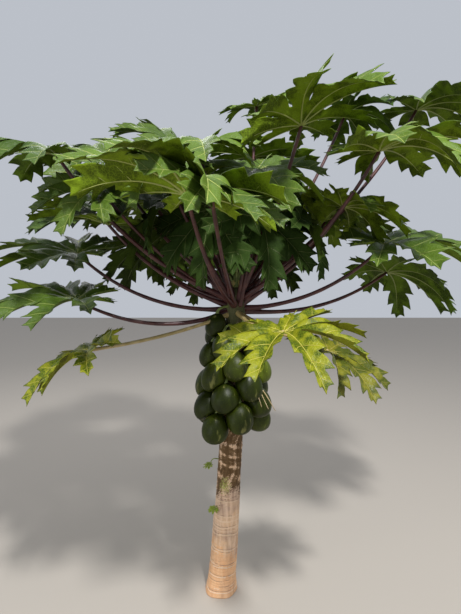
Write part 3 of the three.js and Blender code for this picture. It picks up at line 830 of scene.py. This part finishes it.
def half_lobe_grid(lobe, side, blade):
    """One half of a lobe, flat, row by row from the blade's middle to the tip"""
    length = LOBES[lobe].length
    places, widths = margin_rows(lobe)
    inner = JOINED * np.array([0, 0.12, 0.3, 0.5, 0.75])
    beside = lobe + side
    outer_side = not 0 <= beside < len(LOBES)
    half_gap = BACK_GAP if outer_side else math.radians(abs(LOBES[beside].angle - LOBES[lobe].angle) / 2)
    inner_widths = joined_width(inner, half_gap)
    vary = blade.widths[lobe][(side + 1) // 2]
    free = smooth_step(JOINED, JOINED + 0.06, places)
    first = joined_width(JOINED, half_gap)
    widths = widths * (1 + (vary - 1) * free)
    if outer_side:
        inner_widths = np.minimum(inner_widths, BACK_WIDTH)
        widths = np.minimum(widths, BACK_WIDTH + BACK_WIDENING * (places - JOINED))
    else:
        widths = widths + (first - widths[0]) * (1 - free)
    rows = np.concatenate([inner, places])
    across = np.concatenate([inner_widths, widths])[:, None] * ACROSS[None, :]
    toward_tip = np.clip((rows - JOINED) / (length - JOINED), 0, 1)
    angle = (VEIN_ANGLE + (VEIN_ANGLE_AT_TIP - VEIN_ANGLE) * toward_tip)[:, None]
    along = rows[:, None] + across * np.cos(angle)
    out = side * across * np.sin(angle)
    return turned_by(math.radians(LOBES[lobe].angle), along, out)


def add_sheet(gather, blade):
    for lobe in range(len(LOBES)):
        for side in (-1, 1):
            x, y = half_lobe_grid(lobe, side, blade)
            faces = grid_faces(*x.shape)
            if side == 1:
                faces = [face[::-1] for face in faces]
            gather.add(blade.point(lobe, side, x, y), faces)


def add_ribs(gather, blade):
    """Every lobe's rib, and the side veins that leave it towards the margin's points"""
    stout = blade.size / FULL_BLADE_SIZE
    for lobe, (angle, length, _) in enumerate(LOBES):
        axis = math.radians(angle)
        along = np.linspace(0, 0.985 * length, RIB_STEPS)
        taper = (1 - along / length) ** 1.3 * length
        radii = stout * (RIB_TIP_RADIUS + (RIB_RADIUS - RIB_TIP_RADIUS) * taper)
        line = blade.lobe_point(lobe, *turned_by(axis, along, 0), -0.1 * radii)
        ahead = blade.out * math.cos(axis) + blade.side * math.sin(axis)
        tube(gather, line, radii, RIB_SIDES, np.cross(blade.normal, ahead))
        for side in (-1, 1):
            add_side_veins(gather, blade, lobe, side, stout)


def add_side_veins(gather, blade, lobe, side, stout):
    length = LOBES[lobe].length
    axis = math.radians(LOBES[lobe].angle)
    places, widths = margin_rows(lobe)
    for place in vein_places(lobe):
        toward_tip = max(0, (place - JOINED) / (length - JOINED))
        angle = VEIN_ANGLE + (VEIN_ANGLE_AT_TIP - VEIN_ANGLE) * toward_tip
        reach = np.interp(place, places, widths) if place > JOINED else joined_width(place, VEIN_HALF_GAP)
        across = np.linspace(0, 0.9 * reach, VEIN_STEPS) * blade.widths[lobe][(side + 1) // 2]
        along = place + across * math.cos(angle)
        out = side * across * math.sin(angle)
        line = blade.point(lobe, side, *turned_by(axis, along, out))
        taper = np.linspace(SIDE_VEIN_RADIUS, 0.35 * SIDE_VEIN_RADIUS, VEIN_STEPS)
        radii = stout * taper * (1 - 0.5 * toward_tip)
        tube(gather, line, radii, VEIN_SIDES, blade.normal)


def source_box(blade):
    """The box of the source's plain faceted blade in this place"""
    lift = BLADE_THICKNESS * BLADE_WIDTH * blade.size / 2
    corners = []
    for lobe, (_, length, _) in enumerate(LOBES):
        edge = np.array(SOURCE_LONG_EDGE if length >= LONG_LOBE else SOURCE_SHORT_EDGE) * length * blade.size
        for side, above in ((-1, lift), (-1, -lift), (1, lift), (1, -lift)):
            corners.extend(blade.bent(lobe, edge[:, 0], side * edge[:, 1], above))
    return np.min(corners, axis=0), np.max(corners, axis=0)


def settled_blade(number):
    """The blade as the source turned and sized it: the try that fits the solid's box"""
    leaf = LEAVES[number - 1]
    low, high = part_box(numbered("leaf", number))
    slim = OLD_LEAF_SLIM if number in OLD_LEAVES else 1.0
    tries = []
    size = leaf.size
    while size > leaf.size / 2:
        for pitch, roll, droop in BLADE_TURNS:
            turns = (leaf.pitch + pitch, leaf.roll + roll, leaf.droop + droop)
            blade = Blade(blade_centre(leaf), leaf.azimuth, size, *turns, number, slim=slim)
            box_low, box_high = source_box(blade)
            tries.append((np.abs(box_low - low).sum() + np.abs(box_high - high).sum(), blade))
        size *= BLADE_SHRINK
    return min(tries, key=lambda entry: entry[0])[1]


def make_blades(tint, blades, nodes, slot):
    colours = LEAF_TINTS[tint]
    pattern = "mottled" if tint in MOTTLED else "broad"
    # The underside's lit and shaded colours: its dapple is painted light and shade
    dapple_colours = [scaled(colours.underside, factor) for factor in UNDERSIDE_PAINTED_DAPPLE]
    skins = [
        blade_material(f"blade_top_{tint}", colours.top, colours.patch, LEAF_GLOSS[tint], pattern),
        blade_material(f"blade_underside_{tint}", *dapple_colours, UNDERSIDE_GLOSS, "dappled"),
    ]
    sheets = Gather()
    ribs = Gather()
    for blade in blades:
        add_sheet(sheets, blade)
        add_ribs(ribs, blade)
    piece = sheets.piece(f"blades_{tint}", skins, slot, weld=2e-5)
    solidify = piece.modifiers.new("thickness", "SOLIDIFY")
    solidify.thickness = SHEET
    solidify.offset = -1
    solidify.material_offset = 1
    apply_modifiers(piece)
    if nodes:
        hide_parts(*nodes)
    ribs.piece(f"blade_ribs_{tint}", [rib_material(f"rib_skin_{tint}", colours.rib)], slot)


# Fruit

# The fruit's own greens, darkened as painted shade of the crown; the fourth, paler one is painted sunlight
FRUIT_TINTS = [(0.023, 0.033, 0.001), (0.031, 0.043, 0.002), (0.017, 0.025, 0.001), (0.09, 0.12, 0.008)]
# the one fruit whose skin is painted as sunlit
SUNLIT_FRUIT = 14
# the colour of the painted highlight streaks on the fruit
HIGHLIGHT_STREAK_COLOUR = (0.3, 0.29, 0.09)
FRUIT_SIDES = 36
FRUIT_ROWS = 26
FRUIT_LEAN = math.radians(6)
FRUIT_RIBS = 0.018  # how far its five faint ribs stand proud, in parts of its radius, as are the next two
FRUIT_DIMPLE = 0.05  # how deep its two ends dip, and how wide
FRUIT_DIMPLE_WIDTH = 0.16
FRUIT_NEAR = 0.2  # fruit farther apart than this don't press on each other
FRUIT_GAP = 0.0012  # from a fruit to the plane between it and its neighbour
FRUIT_TO_TRUNK = 0.003
FRUIT_STALK_RADII = [0.0095, 0.006, 0.0062, 0.0105]
BLOSSOM_SCAR_RADII = np.array([0.004, 0.004, 0.0035])
SMALL_ROOT = -0.004  # small stalks start this far under the trunk's surface
Fruit = namedtuple("Fruit", "index width length centre azimuth")


def fruit_at(index):
    age = 1 - index / (FRUIT_COUNT - 1)
    grown = min(1, age * 1.6)
    width, length = [young + (old - young) * grown for old, young in (FRUIT_WIDTH, FRUIT_LENGTH)]
    azimuth = FRUIT_FIRST_AZIMUTH + GOLDEN_ANGLE * index
    centre = beside_trunk(azimuth, FRUIT_OFF_TRUNK + width / 2, FRUIT_LOWEST + FRUIT_RISE * index)
    return Fruit(index, width, length, centre, azimuth)


def soft_excess(value, softness=0.0025):
    """How far a value is over zero, with the corner rounded off"""
    return softness * np.logaddexp(0, value / softness)


def fruit_surface(fruit, others):
    chance = np.random.RandomState(300 + fruit.index)
    rise = np.linspace(-math.pi / 2, math.pi / 2, FRUIT_ROWS)[1:-1, None]
    turn = full_turn(FRUIT_SIDES)
    out = np.cos(rise) ** 0.9 * (1 - 0.1 * np.sin(rise))
    up = np.sin(rise) - FRUIT_DIMPLE * np.exp(-((out / FRUIT_DIMPLE_WIDTH) ** 2)) * np.sign(-rise)
    ribs = 1 + FRUIT_RIBS * np.cos(5 * turn + chance.uniform(0, 6)) * np.cos(rise)
    half_width = fruit.width / 2 * chance.uniform(0.96, 1.04)
    grid = np.stack([out * ribs * np.cos(turn), out * ribs * np.sin(turn), up + 0 * turn], axis=-1)
    grid = grid * [half_width, half_width, fruit.length / 2 * chance.uniform(0.95, 1.04)]
    poles = [[0, 0, grid[0, 0, 2] * 1.02], [0, 0, grid[-1, 0, 2] * 0.98]]
    grid = np.concatenate([grid.reshape(-1, 3), poles])
    tilt = heading(fruit.azimuth) * math.sin(FRUIT_LEAN)
    grid = grid - grid[:, 2:3] * tilt + fruit.centre
    for other in others:
        toward = other.centre - fruit.centre
        distance = np.linalg.norm(toward)
        if distance > FRUIT_NEAR:
            continue
        toward = toward / distance
        middle = fruit.centre + toward * distance * fruit.width / (fruit.width + other.width)
        over = (grid - middle) @ toward + FRUIT_GAP
        grid = grid - soft_excess(over)[:, None] * toward
    axis = np.stack([lean_at(grid[:, 2]), 0 * grid[:, 2], grid[:, 2]], axis=-1)
    from_axis = grid - axis
    distance = np.linalg.norm(from_axis, axis=1)
    inside = soft_excess(trunk_radius_at(grid[:, 2]) + FRUIT_TO_TRUNK - distance)
    grid = grid + from_axis / distance[:, None] * inside[:, None]
    return grid[:-2].reshape(FRUIT_ROWS - 2, FRUIT_SIDES, 3), grid[-2], grid[-1]


def make_fruit():
    fruits = [fruit_at(index) for index in range(FRUIT_COUNT)]
    bodies = Gather()
    stalks = Gather()
    for fruit in fruits:
        others = [other for other in fruits if other is not fruit]
        grid, bottom, top = fruit_surface(fruit, others)
        # one fruit takes the skin painted as sunlit
        close_ends(bodies, grid, bottom, top, 3 if fruit.index == SUNLIT_FRUIT else fruit.index % 3)
        root = beside_trunk(fruit.azimuth, SMALL_ROOT, top[2] + 0.03)
        knee = beside_trunk(fruit.azimuth, 0.014, top[2] + 0.034)
        radii = np.interp(np.linspace(0, 1, 12), [0, 0.25, 0.8, 1], FRUIT_STALK_RADII)
        twig(stalks, [root, knee, top + [0, 0, 0.026], top - [0, 0, 0.004]], radii, 10, fruit.azimuth)
        ball(stalks, bottom + [0, 0, 0.001], BLOSSOM_SCAR_RADII, 8, 6, 1)
    skins = [fruit_material(f"fruit_skin_{i + 1}", colour) for i, colour in enumerate(FRUIT_TINTS)]
    piece = bodies.piece("fruits", skins, "fruit")
    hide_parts(*[numbered("fruit_group", i + 1) for i in range(FRUIT_CHAINS)])
    stalk_skins = [
        plain_material("fruit_stalk_skin", (0.17, 0.22, 0.06), 0.45, 220),
        plain_material("blossom_scar_skin", (0.05, 0.04, 0.02), 0.7, 220),
    ]
    stalks.piece("fruit_stalks", stalk_skins, "fruit")


# Growing tip: half-open young leaves and flower buds

# Each young stalk is shorter and leans out more than the last
SHOOT_LENGTH = 0.25
SHOOT_SHORTENS = 0.028
SHOOT_RISE = 84
SHOOT_LEANS = 5
YOUNG_BLADE_SIZE = 0.15
YOUNG_BLADE_SHRINKS = 0.02
YOUNG_LOBE_RISE = math.radians(66)
BUD_RADII = np.array([0.008, 0.008, 0.015])


def make_tip():
    gather = Gather()
    base = np.array([lean_at(TRUNK_TOP), 0, TRUNK_TOP - 0.01])
    tube(gather, [base, base + [0, 0, 0.03], base + [0, 0, 0.07]], [0.024, 0.019, 0.009], 16, heading(90))
    blades = []
    for i in range(SHOOT_COUNT):
        azimuth = GOLDEN_ANGLE * i
        length = SHOOT_LENGTH - SHOOT_SHORTENS * i
        rise = SHOOT_RISE - SHOOT_LEANS * i
        foot = base + [0, 0, 0.012]
        middle = foot + heading(azimuth, rise - 8) * length * 0.6
        tip = middle + heading(azimuth, rise + 4) * length * 0.4
        twig(gather, [foot, middle, middle, tip], np.linspace(0.0068, 0.004, 14), 10, azimuth)
        size = YOUNG_BLADE_SIZE - YOUNG_BLADE_SHRINKS * i
        blades.append(Blade(tip, azimuth, size, 10, 0, 24, 40 + i, rise=YOUNG_LOBE_RISE))
    for i in range(BUD_COUNT):
        place = base + heading(GOLDEN_ANGLE * i + 40) * 0.02 + [0, 0, 0.028]
        ball(gather, place, BUD_RADII, 12, 10, 1)
    skins = [
        plain_material("young_stalk_skin", (0.24, 0.3, 0.09), 0.45, 200),
        plain_material("flower_bud_skin", (0.62, 0.52, 0.2), 0.5, 260),
    ]
    piece = gather.piece("growing_tip_shoots", skins, "young_shoots")
    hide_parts("growing_tip")
    return blades


# A spent flower stalk beside the fruit, and two shoots low on the trunk

SPENT_AZIMUTH = 318
SPENT_HEIGHT = 1.06
SPENT_SPREAD = (-9, 0, 11)  # the way each of its three stems turns, in degrees
SPENT_OUT = 0.1
SPENT_DOWN = 0.13
TRUNK_SHOOTS = [(192, 0.68, 0.06), (216, 0.45, 0.022)]  # azimuth, height and length
SHOOT_LEAF_SIZE = 0.036


def make_small_shoots():
    gather = Gather()
    root = beside_trunk(SPENT_AZIMUTH, SMALL_ROOT, SPENT_HEIGHT)
    for spread in SPENT_SPREAD:
        knee = root + heading(SPENT_AZIMUTH + spread, 12) * SPENT_OUT
        tip = knee + heading(SPENT_AZIMUTH + spread * 2, -58) * (SPENT_DOWN + 0.002 * spread)
        twig(gather, [root, knee, knee, tip], np.linspace(0.0042, 0.0016, 16), 8, 0)
    skin = stalk_material("spent_stalk_skin", (0.42, 0.31, 0.16), (0.58, 0.46, 0.28))
    gather.piece("spent_flower_stalks", [skin], "old_stalk")
    twigs = Gather()
    blades = []
    for number, (azimuth, height, length) in enumerate(TRUNK_SHOOTS):
        root = beside_trunk(azimuth, SMALL_ROOT, height)
        knee = root + heading(azimuth, 10) * length * 0.6
        tip = knee + heading(azimuth, -70) * length * 0.6
        twig(twigs, [root, knee, knee, tip], np.linspace(0.003, 0.0018, 10), 8, azimuth)
        blades.append(Blade(tip, azimuth, SHOOT_LEAF_SIZE, -10, -8, 40, 90 + number))
    twig_skin = plain_material("trunk_shoot_skin", (0.24, 0.3, 0.08), 0.45, 200)
    twigs.piece("trunk_shoot_stalks", [twig_skin], "young_shoots")
    return blades


# Stage, lights and camera

FLOOR_HALF = 14
FLOOR_COLOUR = (0.42, 0.38, 0.33, 1)
CROWN = (0.1, 0, 1.7)  # what the lights are aimed at
# Each light's place, size and power
LIGHTS = {
    "key_light": ((1.3, -3.6, 5.9), 0.5, 470),
    "fill_light": ((-3.6, -3.2, 1.6), 3.0, 46),
    "back_light": ((-1.6, 3.6, 4.4), 2.4, 60),
}
SKY_COLOUR = (0.86, 0.91, 1.0, 1)
SKY_STRENGTH = 0.58
CAMERA_PLACE = (0.048, -2.23, 1.6)
CAMERA_TILT = 4.3  # downwards, in degrees
CAMERA_LENS = 27.03  # millimetres, as is the sensor
CAMERA_SENSOR = 36


def make_stage():
    mesh = bpy.data.meshes.new("floor")
    corners = [(FLOOR_HALF * x, FLOOR_HALF * y, 0) for x, y in ((-1, -1), (1, -1), (1, 1), (-1, 1))]
    mesh.from_pydata(corners, [], [(0, 1, 2, 3)])
    floor = new_object("floor", mesh)
    shader = Shader("pale_floor")
    shader.surface.inputs["Base Color"].default_value = FLOOR_COLOUR
    shader.surface.inputs["Roughness"].default_value = 0.9
    mesh.materials.append(shader.material)


def add_area_light(name, place, size, power):
    data = bpy.data.lights.new(name, "AREA")
    data.energy = power
    data.size = size
    light = new_object(name, data)
    light.location = place
    toward = np.array(CROWN) - place
    flat = math.hypot(*toward[:2])
    light.rotation_euler = (math.atan2(flat, -toward[2]), 0, math.atan2(toward[1], toward[0]) - math.pi / 2)


def make_lights():
    for name, settings in LIGHTS.items():
        add_area_light(name, *settings)
    world = bpy.data.worlds.new("studio")
    world.use_nodes = True
    sky = world.node_tree.nodes["Background"].inputs
    sky["Color"].default_value = SKY_COLOUR
    sky["Strength"].default_value = SKY_STRENGTH
    bpy.context.scene.world = world
    bpy.context.scene.view_settings.view_transform = "Standard"


def make_camera():
    data = bpy.data.cameras.new("camera")
    data.lens = CAMERA_LENS
    data.sensor_width = CAMERA_SENSOR
    camera = new_object("camera", data)
    camera.location = CAMERA_PLACE
    camera.rotation_euler = (math.radians(90 - CAMERA_TILT), 0, 0)
    bpy.context.scene.camera = camera


make_camera()
make_lights()
make_stage()
make_trunk()
make_stalks(
    "leaf_stalks",
    [number for number in range(1, len(LEAVES) + 1) if number not in OLD_LEAVES],
    [leaf for leaves in MORE_LEAVES.values() for leaf in leaves],
    stalk_material("stalk_skin", (0.045, 0.01, 0.012), (0.105, 0.034, 0.028)),
    "stalk",
)
make_stalks(
    "old_leaf_stalks",
    OLD_LEAVES,
    [],
    stalk_material("old_stalk_skin", (0.36, 0.27, 0.1), (0.5, 0.4, 0.2)),
    "old_stalk",
)
make_fruit()
young_blades = make_tip() + make_small_shoots()
for tint_name, leaf_numbers in TINT_OF_LEAF.items():
    group = [settled_blade(number) for number in leaf_numbers]
    if tint_name == "young":
        group += young_blades
    for i, leaf in enumerate(MORE_LEAVES.get(tint_name, [])):
        turns = (leaf.azimuth, leaf.size, leaf.pitch, leaf.roll, leaf.droop)
        group.append(Blade(blade_centre(leaf), *turns, FIRST_MORE_NUMBER + i))
    nodes = [numbered("leaf", number) for number in leaf_numbers]
    make_blades(tint_name, group, nodes, BLADE_SLOTS.get(tint_name, "leaf"))
